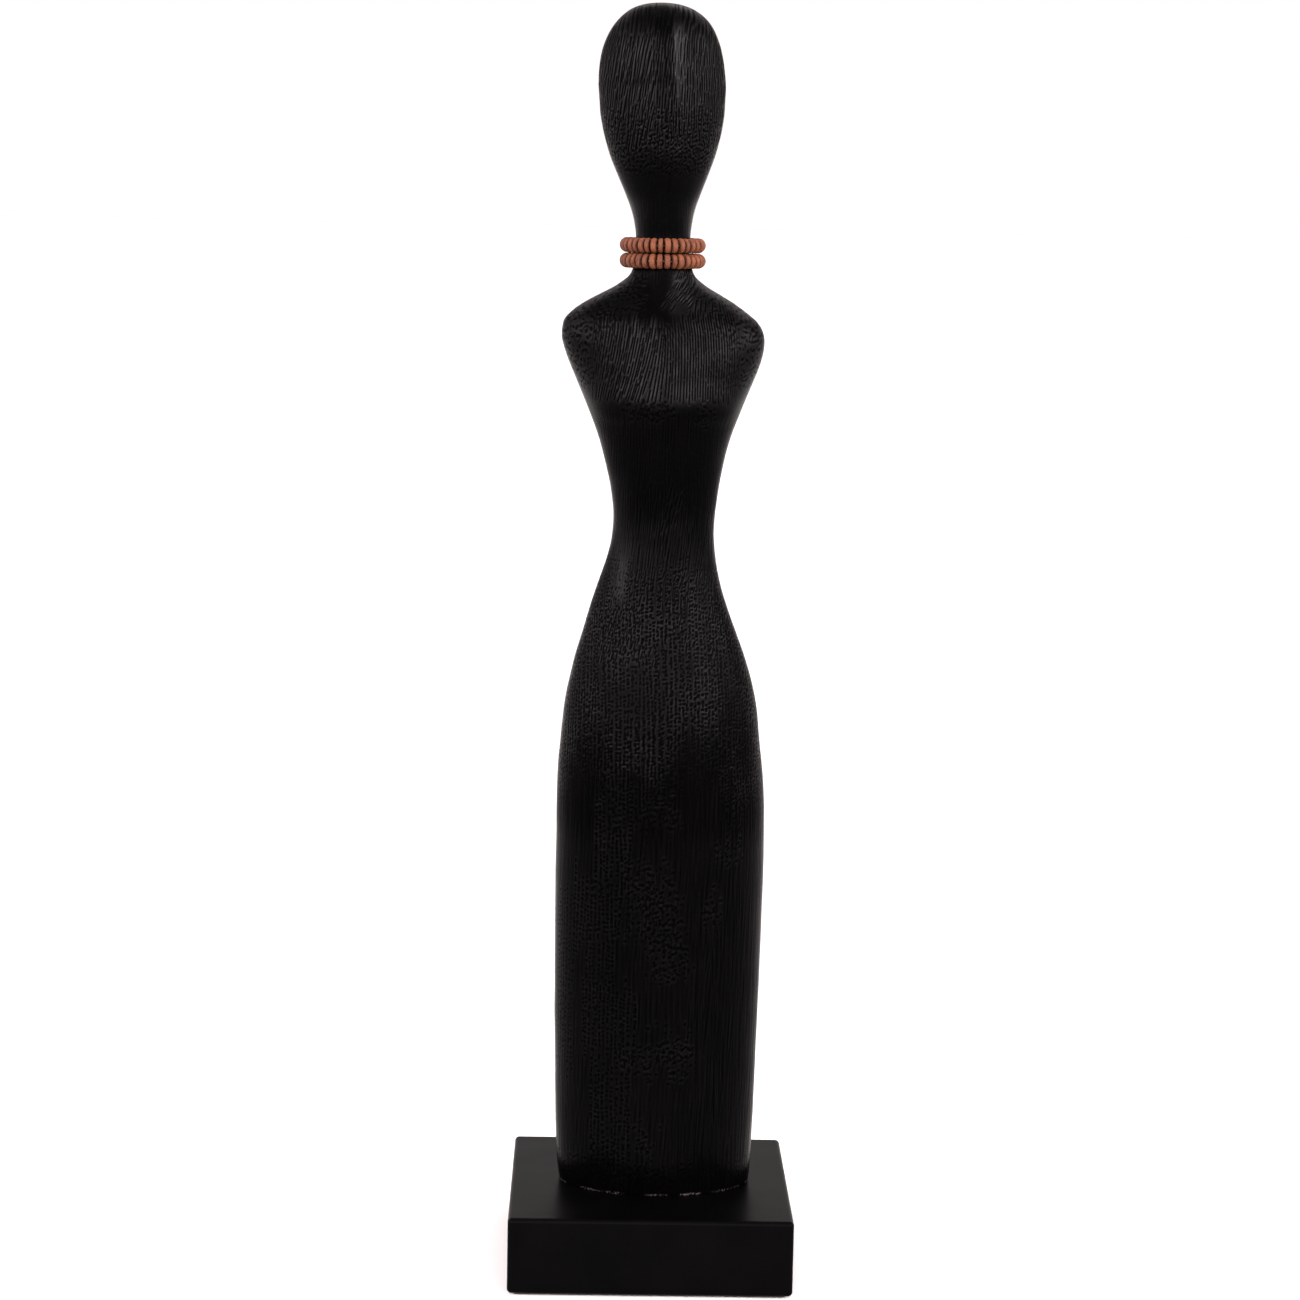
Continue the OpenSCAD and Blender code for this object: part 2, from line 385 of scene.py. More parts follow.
def cad_rings():
    """The levels of the CAD figure as an array of rings, from its foot to its top."""
    points = np.unique(cad_points("carved_figure"), axis=0)
    for screw in ("base_screw_left", "base_screw_right"):
        low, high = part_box(screw)
        axis = np.array([(low.x + high.x) / 2, (low.y + high.y) / 2])
        near = np.hypot(*(points[:, :2] - axis).T) < 3 * MM
        points = points[~(near & (points[:, 2] < high.z + 3 * MM))]
    rings = []
    for level in np.unique(points[:, 2]):
        ring = points[points[:, 2] == level]
        if len(ring) == CAD_COLUMNS:
            middle = (ring[:, 0].min() + ring[:, 0].max()) / 2
            turn = np.arctan2(ring[:, 1], ring[:, 0] - middle)
            rings.append(ring[np.argsort((turn + 1e-3) % (2 * math.pi))])
    apex = points[np.argmax(points[:, 2])]
    rings.append(np.repeat(apex[None], CAD_COLUMNS, 0))
    return np.array(rings)


def hermite(points, slopes, knots, at):
    """Cubic curve through points along the first axis, with given slopes at the knots."""
    i = np.clip(np.searchsorted(knots, at, side="right") - 1, 0, len(knots) - 2)
    step = (knots[i + 1] - knots[i])[:, None, None]
    t = ((at - knots[i]) / (knots[i + 1] - knots[i]))[:, None, None]
    return (
        points[i] * (1 + 2 * t) * (1 - t) ** 2 + points[i + 1] * (3 - 2 * t) * t * t
        + step * (slopes[i] * t * (1 - t) ** 2 - slopes[i + 1] * t * t * (1 - t))
    )


def inner_slopes(points, knots):
    """Slopes at all points but the first and the last."""
    step = np.diff(knots)[:, None, None]
    rate = np.diff(points, axis=0) / step
    return (rate[:-1] * step[1:] + rate[1:] * step[:-1]) / (step[1:] + step[:-1])


def round_the_figure(rings, height):
    """Every ring with FINE_COLUMNS points, closer in front. The face's ridge keeps its edge."""
    turned = np.roll(rings, -RIDGE_COLUMN, axis=1).transpose(1, 0, 2)
    closed = np.concatenate([turned, turned[:1]])
    chords = np.linalg.norm(np.diff(closed[:, :-1], axis=0), axis=2).mean(1)
    knots = np.concatenate([[0], np.cumsum(chords)])
    inner = inner_slopes(closed, knots)
    wrapped = inner_slopes(
        np.stack([closed[-2], closed[0], closed[1]]),
        np.array([0, chords[-1], chords[-1] + chords[0]]),
    )[0]
    first = 2 * (closed[1] - closed[0]) / chords[0] - inner[0]
    last = 2 * (closed[-1] - closed[-2]) / chords[-1] - inner[-1]
    edge = smoothstep(466, 500, height)[:, None]
    first = wrapped * (1 - edge) + first * edge
    last = wrapped * (1 - edge) + last * edge
    slopes = np.concatenate([first[None], inner, last[None]])
    at = []
    for k in range(CAD_COLUMNS):
        column = (k + RIDGE_COLUMN) % CAD_COLUMNS
        steps = fine_column(column + 1) - fine_column(column)
        at.append(knots[k] + np.arange(steps) / steps * (knots[k + 1] - knots[k]))
    fine = hermite(closed, slopes, knots, np.concatenate(at))
    return np.roll(fine, fine_column(RIDGE_COLUMN), axis=0).transpose(1, 0, 2)


def up_the_figure(rings):
    """Fine levels between the rings, closer together where the carving is fine."""
    chords = np.linalg.norm(np.diff(rings, axis=0), axis=2).mean(1)
    knots = np.concatenate([[0], np.cumsum(chords)])
    inner = inner_slopes(rings, knots)
    slopes = np.concatenate([
        2 * (rings[1:2] - rings[:1]) / chords[0] - inner[:1], inner,
        2 * (rings[-1:] - rings[-2:-1]) / chords[-1] - inner[-1:],
    ])
    slopes[-1, :, 2] = 0
    places = np.arange(0, knots[-1], MEASURE_STEP * MM)
    levels = np.interp(places, knots, rings[:, :, 2].mean(1))
    z = (levels - figure_low.z) / MM
    spacing = 0.72 - 0.2 * band(4, 190, 6, z) - 0.3 * band(192, 316, 6, z)
    spacing = spacing - 0.2 * band(364, 446, 6, z) - 0.3 * band(470, 552, 5, z)
    count = np.cumsum(MEASURE_STEP / spacing)
    at = np.interp(np.arange(0, int(count[-1])), count, places)
    return hermite(rings, slopes, knots, at), rings[-1, 0], at


class Carving:
    """The marks of the gouge, kept as a depth in mm for each point of the fine surface.

    z is the height in mm. side is the distance in mm round the figure from its front line,
    positive towards the figure's left, and turn is the same as a part of the whole way.
    """

    SHARES = 2400
    SHALLOWEST = 0.01

    def __init__(self, surface, along):
        self.along = along / MM
        self.height = (surface[:, :, 2].mean(1) - figure_low.z) / MM
        across = np.linalg.norm(np.roll(surface, -1, 1) - np.roll(surface, 1, 1), axis=2)
        self.column = np.maximum(across / 2 / MM, 1e-3)
        self.girth = self.column.sum(1)
        self.depth = np.zeros(surface.shape[:2])
        self.random = random.Random(7)
        self.front = fine_column(FRONT_COLUMN)
        order = (self.front + np.arange(FINE_COLUMNS)) % FINE_COLUMNS
        run = np.cumsum(self.column[:, order], axis=1) - self.column[:, order] / 2
        whole = self.girth[:, None]
        self.side = np.empty_like(run)
        self.side[:, order] = np.where(run > whole / 2, run - whole, run)
        shares = np.linspace(0, 1, self.SHARES + 1)
        numbers = np.arange(FINE_COLUMNS)
        self.table = np.stack([
            np.interp(shares * girth, places, numbers) for girth, places in zip(self.girth, run)
        ])

    def row_at(self, height):
        return int(np.argmin(np.abs(self.height - height)))

    def turn_at(self, z, side):
        """The part of the whole way round at which a distance from the front line lies."""
        return side / self.girth[self.row_at(z)]

    def column_at(self, row, side):
        """The column, with a fraction, at a distance in mm from the front line."""
        share = side / self.girth[row] % 1 * self.SHARES
        low = np.minimum(share.astype(int), self.SHARES - 1)
        start, stop = self.table[row, low], self.table[row, low + 1]
        return self.front + start + (share - low) * (stop - start)

    def cut(self, row, side, length, width, depth, slant=0.0):
        """One stroke: its size in mm, and its slant in degrees to the figure's left going up."""
        lean = math.radians(slant)
        reach = length / 2 * math.cos(lean)
        start = np.searchsorted(self.along, self.along[row] - reach)
        stop = np.searchsorted(self.along, self.along[row] + reach, side="right")
        if stop - start < 2 or depth < self.SHALLOWEST:
            return
        rows = np.arange(start, stop)
        climb = self.along[rows] - self.along[row]
        # In front a stroke keeps its distance from the front line, behind from the back line.
        behind = smoothstep(0.15, 0.35, abs(side) / self.girth[row])
        growth = (self.girth[rows] - self.girth[row]) / 2 * behind
        middle = self.column_at(rows, side + growth * np.sign(side) + climb * math.tan(lean))
        size = self.column[rows, middle.astype(int) % FINE_COLUMNS]
        half = int(width / 2 / size.min() / max(math.cos(lean), 0.2)) + 1
        columns = np.floor(middle)[:, None].astype(int) + np.arange(-half, half + 2)[None]
        offset = (columns - middle[:, None]) * (size * math.cos(lean) / (width / 2))[:, None]
        ends = np.clip(1 - (climb / reach) ** 2, 0, None)[:, None]
        shape = np.clip(1 - offset ** 2, 0, None) * ends ** 0.6
        place = (rows[:, None], columns % FINE_COLUMNS)
        self.depth[place] = np.maximum(self.depth[place], depth * shape)

    def course(self, height, pitch, step, stroke, loose):
        """A band of strokes round the figure. stroke says what each is, from its place."""
        row = self.row_at(height)
        count = max(int(self.girth[row] / pitch), 3)
        offset = self.random.random()
        for i in range(count):
            shift = self.random.uniform(-0.3, 0.3)
            side = ((i + offset + shift) / count - 0.5) * self.girth[row]
            z = height + self.random.uniform(-0.5, 0.5) * step * loose
            mark = stroke(z, side, side / self.girth[row])
            if mark is not None:
                self.cut(self.row_at(z), side, *mark)

    def fill(self, low, high, step, pitch, stroke, loose=1.0):
        """Courses from low to high. loose is how far strokes stray up and down from them."""
        height = low
        while height < high:
            self.course(height, pitch, step, stroke, loose)
            height += step

    def lines(self, low, high, left, right, pitch, stroke):
        """Long broken lines side by side over a part of the front, each with its own slant."""
        place, middle = left, (low + high) / 2
        while place < right:
            z = low + self.random.uniform(-1, 4)
            while z < high:
                length, width, depth, slant = stroke(z, place)
                side = place + (z + length / 2 - middle) * math.tan(math.radians(slant))
                side += self.random.uniform(-0.12, 0.12)
                self.cut(self.row_at(z + length / 2), side, length, width, depth, slant)
                z += length * self.random.uniform(0.8, 1.0)
            place += self.vary(pitch, 0.12)

    def rows(self, low, high, left, right, pitch, stroke):
        """Upright rows of dots over a part of the front. The rows end at uneven heights."""
        place = left
        while place < right:
            z = low + self.random.uniform(-7, 7)
            sway = self.random.uniform(-0.8, 0.8)
            while z < high + self.random.uniform(-8, 8):
                mark = stroke(z, place)
                if mark is not None:
                    side = place + sway * math.sin(z / 11) + self.random.uniform(-0.25, 0.25)
                    self.cut(self.row_at(z), side, *mark)
                z += self.vary(pitch, 0.2)
            place += self.vary(pitch, 0.15)

    def patch(self, low, high, left, right, count, stroke):
        """Strokes at random places in a part of the front, fewer towards its borders."""
        for _ in range(count):
            z = self.random.triangular(low, high)
            side = self.random.triangular(left, right)
            self.cut(self.row_at(z), side, *stroke(z, side, 0))

    def vary(self, value, part=0.25):
        return value * self.random.uniform(1 - part, 1 + part)


def carve(carving):
    """Cuts all marks. Each stroke is its length, width, depth and slant, or None to skip it."""
    vary, chance = carving.vary, carving.random.random

    # Long, light lines over the crown.
    def crown(z, side, turn):
        return vary(14), vary(1.9), vary(0.07), 6
    carving.fill(549, 567, 8, 2.4, crown)

    # Gouges on the upper half of the head. They lean on the figure's right, are shallow in
    # the middle, and stand upright and deep to the figure's left of the ridge.
    def brow(z, side, turn):
        if abs(turn) > 0.3:
            return vary(15), vary(1.9), vary(0.16), vary(5, 0.5)
        if side > 4:
            deep = 0.21 if side < 13 else 0.16
            return vary(10), vary(1.3), vary(deep, 0.5), vary(2, 1.5)
        if side > -5:
            return vary(9), vary(1.2), vary(0.12, 0.5), vary(4, 0.6)
        deep = (0.22 if side > -24 else 0.15) * smoothstep(558, 544, z)
        return vary(11, 0.4), vary(1.35, 0.2), vary(deep, 0.4), vary(10, 0.3)
    carving.fill(508, 551, 6, 1.35, brow)

    # Pecked marks, like a net, on the lower half of the head.
    def pecked(z, side, turn):
        deep = 0.08 * smoothstep(488, 494, z) + 0.09 * smoothstep(496, 507, z)
        deep = deep * (1 - smoothstep(512, 530, z)) * (1 - 0.5 * smoothstep(0.15, 0.24, abs(turn)))
        return vary(2.0, 0.4), vary(1.6, 0.4), vary(deep, 0.5), vary(8, 3)
    carving.fill(488, 532, 3.0, 2.4, pecked, 1.6)
    carving.rows(484, 526, -44, 46, 1.9, lambda z, side: pecked(z, side, carving.turn_at(z, side)))

    # The neck is scraped nearly smooth.
    def neck(z, side, turn):
        return vary(12), vary(1.5), vary(0.04), 0
    carving.fill(446, 480, 9, 1.8, neck)

    # Slanting hatch where the neck spreads into the shoulder.
    def hatch(z, side, turn):
        if abs(turn) > 0.42:
            return vary(10), vary(1.3, 0.1), vary(0.12), -40
        if -17 < side < -7:
            return vary(2.0), vary(1.8), vary(0.06), 20
        return None
    carving.fill(428, 443, 3.4, 1.7, hatch)
    carving.lines(427, 446, 4.5, 18.0, 1.3, lambda z, side: (vary(6), 1.0, vary(0.19), 23))

    # Shoulders and the sides of the chest, lightly mottled.
    def mottled(z, side, turn):
        away = smoothstep(0.06, 0.14, abs(turn))
        return vary(2.2, 0.4), vary(1.6, 0.4), vary(0.07 * away, 0.5), vary(20, 3)
    carving.fill(392, 440, 2.0, 2.1, mottled, 1.6)

    # Long gouges over the back, and over the chest, where they slant on the figure's right.
    def back(z, side, turn):
        if abs(turn) > 0.3:
            return vary(17, 0.4), vary(1.7, 0.15), vary(0.16, 0.4), 8 * math.copysign(1, turn)
        return None
    carving.fill(389, 422, 5, 1.4, back)

    def breast(z, side):
        below_neck = 1 - smoothstep(9, 20, abs(side + 2))
        raised = smoothstep(6, 14, side)
        start, stop = 414 - 4 * below_neck + 6 * raised, 423 - 5 * below_neck + 8 * raised
        top = 1 - smoothstep(start, stop, z)
        deep = np.interp(
            side, [-40, -30, -20, -16, -4, 0, 30, 40], [0, 0.12, 0.17, 0.25, 0.25, 0.16, 0.16, 0]
        )
        lean = np.interp(side, [-30, -6, 2, 30], [14, 16, 4, 1])
        return vary(9, 0.5), 1.1, vary(deep * top, 0.35), vary(lean, 0.08)
    carving.lines(384, 430, -36, 38, 1.3, breast)

    # Small pecks under the bust, then upright scraping down to the waist.
    def below(z, side, turn):
        return vary(1.4), vary(1.8, 0.4), vary(0.07), vary(10, 3)
    carving.patch(375, 387, -22, 5, 110, below)
    carving.patch(372, 386, 12, 26, 40, below)

    def scraped(z, side, turn):
        deep = 0.02 + 0.06 * (1 - smoothstep(320, 345, z))
        return vary(18, 0.4), vary(1.3), vary(deep, 0.7), vary(2, 1)
    carving.fill(292, 378, 8, 1.5, scraped)
    carving.lines(321, 336, 0, 6, 1.7, lambda z, side: (vary(9), 1.2, vary(0.15), 12))

    # Slanting dashes over the hips, with scale-like hollows behind and rows of dots in front.
    def dashes(z, side, turn):
        if -0.15 < turn < -0.04 or chance() < 0.2:
            return vary(4.2, 0.4), vary(1.1), vary(0.17), vary(13, 0.4)
        return None
    carving.fill(262, 304, 3.1, 2.1, dashes, 1.5)

    def scales(z, side, turn):
        strong = 0.14 * smoothstep(180, 220, z) * (1 - smoothstep(292, 316, z))
        if abs(turn) < 0.3:
            return None
        return vary(1.9, 0.3), vary(1.5, 0.3), vary(strong, 0.5), vary(8, 2)
    carving.fill(176, 318, 1.6, 1.6, scales, 1.5)

    def hips(z, side):
        turn = abs(carving.turn_at(z, side))
        low = 190 + 10 * math.sin(side / 9) + 5 * math.sin(side / 3.7 + 1)
        if turn > 0.3 or chance() > 0.3 + 0.6 * smoothstep(low - 10, low + 20, z):
            return None
        patchy = value_noise([[side, 0.6 * z]], 12, 31)[0]
        strong = (0.15 - 0.06 * smoothstep(0.17, 0.25, turn)) * (0.75 + 0.55 * patchy)
        top = 320 + 6 * math.sin(side / 4.5)
        strong = strong * smoothstep(low - 12, low + 30, z) * (1 - smoothstep(top - 28, top, z))
        return vary(2.1, 0.3), vary(1.8, 0.25), vary(strong, 0.5), vary(8, 1.5)
    carving.rows(176, 324, -88, 88, 1.85, hips)

    # Rows of small dots down the skirt on the figure's right. Each entry is the lowest and
    # highest side, the lowest and highest z, and the depth.
    rows_of_dots = (
        (-32, -14, 156, 206, 0.13), (-44, -18, 126, 160, 0.10), (-36, -20, 96, 130, 0.07),
        (-38, -10, 72, 106, 0.10), (-32, -12, 6, 72, 0.09), (-58, -44, 60, 150, 0.05),
    )
    for left, right, low, high, deep in rows_of_dots:
        def dot(z, side):
            return (vary(2.0), vary(1.9), vary(deep, 0.4)) if chance() < 0.85 else None
        carving.rows(low, high, left, right, 2.1, dot)

    # Loose patches of short marks elsewhere on the skirt: z, then side, then their number.
    def short(z, side, turn):
        return vary(1.6, 0.4), vary(1.7, 0.4), vary(0.12, 0.5), vary(10, 3)
    patches = (
        (176, 204, -8, 12, 60), (160, 184, 24, 44, 60), (122, 170, -20, 12, 330),
        (102, 142, -7, 18, 190), (128, 156, 20, 32, 40),
        (56, 88, -6, 22, 150), (6, 40, -14, 4, 60), (60, 76, -22, -2, 50),
    )
    for low, high, left, right, count in patches:
        carving.patch(low, high, left, right, count, short)

    # Long, light streaks down the skirt.
    def streaks(z, side, turn):
        more = 0.02 if 0.07 < turn < 0.3 or abs(turn) > 0.36 else 0
        return vary(30, 0.5), vary(2.0, 0.5), vary(0.022 + more, 0.8), vary(1.5, 2)
    carving.fill(8, 200, 13, 2.4, streaks)

    # Low, chipped marks just over the plinth.
    def low_marks(z, side, turn):
        return (vary(1.8), vary(1.8), vary(0.07), vary(20, 2)) if chance() < 0.5 else None
    carving.fill(3, 16, 2.1, 2.4, low_marks)


def blurred(values, reach):
    """The mean of the values over a square of points round each point."""
    total = sum(np.roll(values, shift, 1) for shift in range(-reach, reach + 1))
    rows = np.cumsum(np.pad(total, ((reach + 1, reach), (0, 0)), mode="edge"), axis=0)
    return (rows[2 * reach + 1:] - rows[:-2 * reach - 1]) / (2 * reach + 1) ** 2


def past_ridge(carving):
    """How far, in mm, each point lies past the face's ridge towards the figure's left."""
    return carving.side - carving.side[:, fine_column(RIDGE_COLUMN)][:, None]


def figure_polish_and_painted_light(carving):
    """How strongly the wood reflects: polish from handling, high on the crests and low in the
    hollows, with painted highlight and painted shade in set places.
    """
    z, side = carving.height[:, None], carving.side
    crest = (blurred(carving.depth, 3) - carving.depth) / COMMON_DEPTH
    crest = crest * (1 + 0.75 * band(498, 556, 6, z) + 0.25 * band(384, 424, 4, z))
    past = past_ridge(carving)
    # Painted highlight in a strip past the ridge on the head; painted shade in a strip before the
    # ridge and in the hollow under the neck.
    ridge_highlight = smoothstep(0.2, 0.8, past) * (1 - smoothstep(3.5, 8, past)) * band(529, 558, 6, z)
    upper = smoothstep(500, 530, z)
    wide = 1.2 + 6.8 * upper
    shaded = smoothstep(-wide - 1, -wide + 1, past) * (1 - smoothstep(-0.4, 0.2, past))
    shaded = shaded * band(474, 560, 6, z) * (0.35 + 0.65 * upper)
    neck_shade = (1 - smoothstep(5, 11, np.abs(side + 4))) * band(421, 445, 4, z)
    level = PLAIN_POLISH + crest + 0.46 * ridge_highlight - 0.12 * shaded - 0.10 * neck_shade
    away = smoothstep(5, 14, np.abs(side))
    chest = band(-34, 34, 4, side)
    # Painted highlight and painted shade. For each zone: where it is round the figure, its low and
    # high end, the fade between it and the rest, and how much its reflection is raised (painted
    # highlight) or lowered (painted shade).
    painted_light_zones = (
        (1, 498, 540, 10, 0.14), (1, 446, 478, 5, 0.03), (away, 446, 478, 5, 0.16),
        (smoothstep(2, 8, side), 424, 446, 4, 0.12),
        (smoothstep(18, 30, np.abs(side)), 384, 410, 8, 0.10),
        (smoothstep(22, 30, np.abs(side)), 382, 418, 5, 0.10),
        (smoothstep(-2, 8, side) * chest, 382, 393, 4, 0.10),
        (chest, 394, 408, 5, -0.03), (chest, 408, 424, 5, -0.10), (chest, 330, 381, 4, -0.03),
        (smoothstep(-14, -22, side), 320, 348, 8, 0.10),
        (band(-26, -15, 3, side), 286, 318, 8, 0.13),
        (band(-21.5, -17, 1.2, side), 290, 309, 4, 0.22),
        (smoothstep(18, 30, side), 222, 290, 8, -0.04),
        (1, 212, 300, 14, -0.03), (1, 176, 222, 12, -0.09), (1, 4, 170, 8, -0.02),
    )
    for where, low, high, fade, gain in painted_light_zones:
        level = level + gain * where * band(low, high, fade, z)
    return np.clip(level, 0.05, 1.0)


def figure_profile(carving):
    """How far inward, in mm, the surface is moved besides the gouge marks: broad unevenness,
    the groove and slope at the ridge, the edge under the bust and the worn seat of the beads."""
    z, side = carving.height[:, None], carving.side
    turn = 2 * math.pi * side / carving.girth[:, None]
    points = np.stack([np.cos(turn) * 25, np.sin(turn) * 25, np.broadcast_to(z, side.shape)], 2)
    points = points.reshape(-1, 3)
    uneven = 0.16 * value_noise(points, 17, 3) + 0.07 * value_noise(points, 7, 5)
    uneven = uneven.reshape(side.shape)
    past = past_ridge(carving)
    length = band(474, 560, 8, z)
    groove = 0.5 * np.exp(-((past + 1.1) / 1.0) ** 2) * (past < 0)
    slope = 0.04 * np.clip(past, 0, 6.5) * (1 - smoothstep(7, 24, past))
    calm = 1 - smoothstep(440, 446, z) * (1 - smoothstep(466, 472, z))
    front = 1 - smoothstep(0.15, 0.23, np.abs(side / carving.girth[:, None]))
    bust = 1.2 * smoothstep(371, 380, z) * (1 - smoothstep(381, 397, z)) * front
    seat = 0.3 * band(443, 458, 2.5, z)
    return uneven * calm + (groove + slope) * length - bust + seat


def foot_line(carving):
    """Where a pale painted highlight runs along the front of the foot, in pieces of uneven length.
    """
    z, arc = carving.height[:, None], carving.side / carving.girth[:, None]
    line = (1 - smoothstep(0.4, 0.9, z)) * band(-0.24, 0.23, 0.02, arc)
    gaps = value_noise(np.stack([carving.side.ravel(), np.zeros(arc.size)], 1), 5, 11)
    return line * smoothstep(-0.4, 0.4, gaps.reshape(arc.shape) + 0.4 * band(0.03, 0.15, 0.04, arc))


def wrap_figure(piece, quads, along):
    """Wraps the figure for baking: round the figure across, and up the figure upward."""
    row, column = quads[:, 0] // FINE_COLUMNS, quads[:, 0] % FINE_COLUMNS
    across = np.stack([column, column + 1, column + 1, column], 1) / FINE_COLUMNS
    upward = np.stack([along[row], along[row], along[row + 1], along[row + 1]], 1) / along[-1]
    sides = np.stack([across, 0.02 + 0.97 * upward], 2)
    fan = (np.arange(FINE_COLUMNS)[:, None] + np.array([[0, 1, 0.5]])) / FINE_COLUMNS
    crown = np.stack([fan, np.tile([0.99, 0.99, 1.0], (FINE_COLUMNS, 1))], 2)
    under = np.stack([fan[:, [1, 0, 2]], np.tile([0.01, 0.01, 0.0], (FINE_COLUMNS, 1))], 2)
    places = np.concatenate([part.reshape(-1, 2) for part in (sides, crown, under)])
    wrap = piece.data.uv_layers.new(name="OFBake")
    wrap.data.foreach_set("uv", places.astype(np.float32).ravel())


def carved_figure():
    rings = cad_rings()
    height = (rings[:, :, 2].mean(1) - figure_low.z) / MM
    surface, apex, along = up_the_figure(round_the_figure(rings, height))
    carving = Carving(surface, along)
    carve(carving)
    round_step = np.roll(surface, -1, 1) - np.roll(surface, 1, 1)
    normal = np.cross(round_step, np.gradient(surface, axis=0))
    normal /= np.maximum(np.linalg.norm(normal, axis=2, keepdims=True), 1e-12)
    z = carving.height[:, None]
    keep = smoothstep(0, 1.5, z) * (1 - smoothstep(566, 569.4, z))
    marks = carving.depth * keep
    inward = (marks - RAISED + figure_profile(carving)) * keep
    surface = surface - normal * inward[:, :, None] * MM
    foot = surface[0].mean(0)
    points = np.concatenate([surface.reshape(-1, 3), apex[None], foot[None]])
    quads = tube_faces(len(surface), FINE_COLUMNS, False)
    ring = np.arange(FINE_COLUMNS)
    after = (ring + 1) % FINE_COLUMNS
    count = len(surface) * FINE_COLUMNS
    last = count - FINE_COLUMNS
    crown = np.stack([last + ring, last + after, np.full(FINE_COLUMNS, count)], 1)
    under = np.stack([after, ring, np.full(FINE_COLUMNS, count + 1)], 1)
    piece = make_mesh("figure_carving", points, quads, np.concatenate([crown, under]))
    add_values(piece, "depth", np.append(np.clip(marks / 0.2, 0, 1), [0, 0]))
    add_values(piece, "polish_and_painted_light", np.append(figure_polish_and_painted_light(carving), [0, 0]))
    add_values(piece, "foot_highlight", np.append(foot_line(carving), [0, 0]))
    wrap_figure(piece, quads, along)
    piece.data.materials.append(carved_wood())
    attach(piece, "figure")
    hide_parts("carved_figure")


# ------ plinth

PLINTH_EDGE = 2.2 * MM
PLINTH_STEP = 1.25 * MM


def edge_spacing(low, high):
    """Places along one side, closer together over its rounded ends."""
    turn = PLINTH_EDGE * np.tan(np.linspace(0, math.pi / 4, 7))
    low, high = low + PLINTH_EDGE, high - PLINTH_EDGE
    middle = np.linspace(low, high, int((high - low) / PLINTH_STEP) + 1)
    return np.concatenate([(low - turn)[::-1], middle[1:-1], high + turn])


def plinth_block():
    low, high = np.array(plinth_low), np.array(plinth_high)
    lines = [edge_spacing(low[k], high[k]) for k in range(3)]
    points, quads = [], []
    for axis in range(3):
        a, b = (axis + 1) % 3, (axis + 2) % 3
        for end in (0, 1):
            u, v = np.meshgrid(lines[a], lines[b], indexing="ij")
            face = np.empty(u.shape + (3,))
            face[..., axis], face[..., a], face[..., b] = (low, high)[end][axis], u, v
            first = sum(len(part) for part in points)
            points.append(face.reshape(-1, 3))
            corners = grid_faces(*u.shape) + first
            quads.append(corners if end else corners[:, ::-1])
    points, quads = np.concatenate(points), np.concatenate(quads)
    _, first, same = np.unique(np.round(points, 7), axis=0, return_index=True, return_inverse=True)
    points, quads = points[first], same.ravel()[quads]

    # The edges are sharper near the bottom, except at its corners.
    x, y, z = points.T
    to_corner = np.hypot(high[0] - np.abs(x), high[1] - np.abs(y)) / MM
    to_bottom = (z - low[2]) / MM
    soft = (1 - smoothstep(2, 11, to_corner)) * (1 - smoothstep(2, 10, to_bottom))
    radii = (PLINTH_EDGE / MM - 0.5 * (1 - smoothstep(3, 10, to_bottom)) + 0.5 * soft)[:, None] * MM
    inner = np.clip(points, low + radii, high - radii)
    away = points - inner
    away /= np.maximum(np.linalg.norm(away, axis=1, keepdims=True), 1e-12)
    block = inner + away * radii
    uneven = 0.03 * value_noise(block / MM, 26, 21) + 0.012 * value_noise(block / MM, 9, 22)
    edge = smoothstep(0.62, 0.95, 1 - np.abs(away).max(1) + 0.3)
    nicks = np.clip(value_noise(block / MM * np.array([1, 1, 0.6]), 2.6, 23) - 0.55, 0, None) * edge
    low_edge = 1 - smoothstep(1.5, 4, to_bottom)
    inward = np.clip(uneven + 0.03, 0, None) + nicks * (0.35 + 0.9 * low_edge)
    block = block - away * inward[:, None] * MM
    piece = make_mesh("plinth_block", block, quads)
    wear = np.clip(edge * (0.25 + nicks * 3 + 0.5 * value_noise(block / MM, 11, 24)), 0, 1)
    add_values(piece, "wear", wear * 0.6)
    piece.data.materials.append(plinth_wood())
    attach(piece, "figure")
    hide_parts("plinth")


# ------ bead strands

def solids_of(node):
    """The points of each separate solid of a CAD node."""
    points, same = np.unique(cad_points(node), axis=0, return_inverse=True)
    same = same.ravel()
    parent = list(range(len(points)))

    def top(i):
        while parent[i] != i:
            parent[i] = parent[parent[i]]
            i = parent[i]
        return i
    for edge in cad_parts[node].data.edges:
        a, b = (top(same[v]) for v in edge.vertices)
        parent[a] = b
    groups = {}
    for i in range(len(points)):
        groups.setdefault(top(i), []).append(points[i])
    return [np.array(group) for group in groups.values()]


BEAD_AROUND = 56
BEAD_GROWTH = 0.028
THREAD_RADIUS = 0.4 * MM
PLY_RADIUS = 0.5 * THREAD_RADIUS
PLY_OFFSET = 0.48 * THREAD_RADIUS
PLY_TWISTS = 48
LOOP_STEPS = 10 * PLY_TWISTS
KNOT_TURNS = 5
KNOT_WIDTH = 1.25 * MM
TWINE_RADIUS = 0.17 * MM


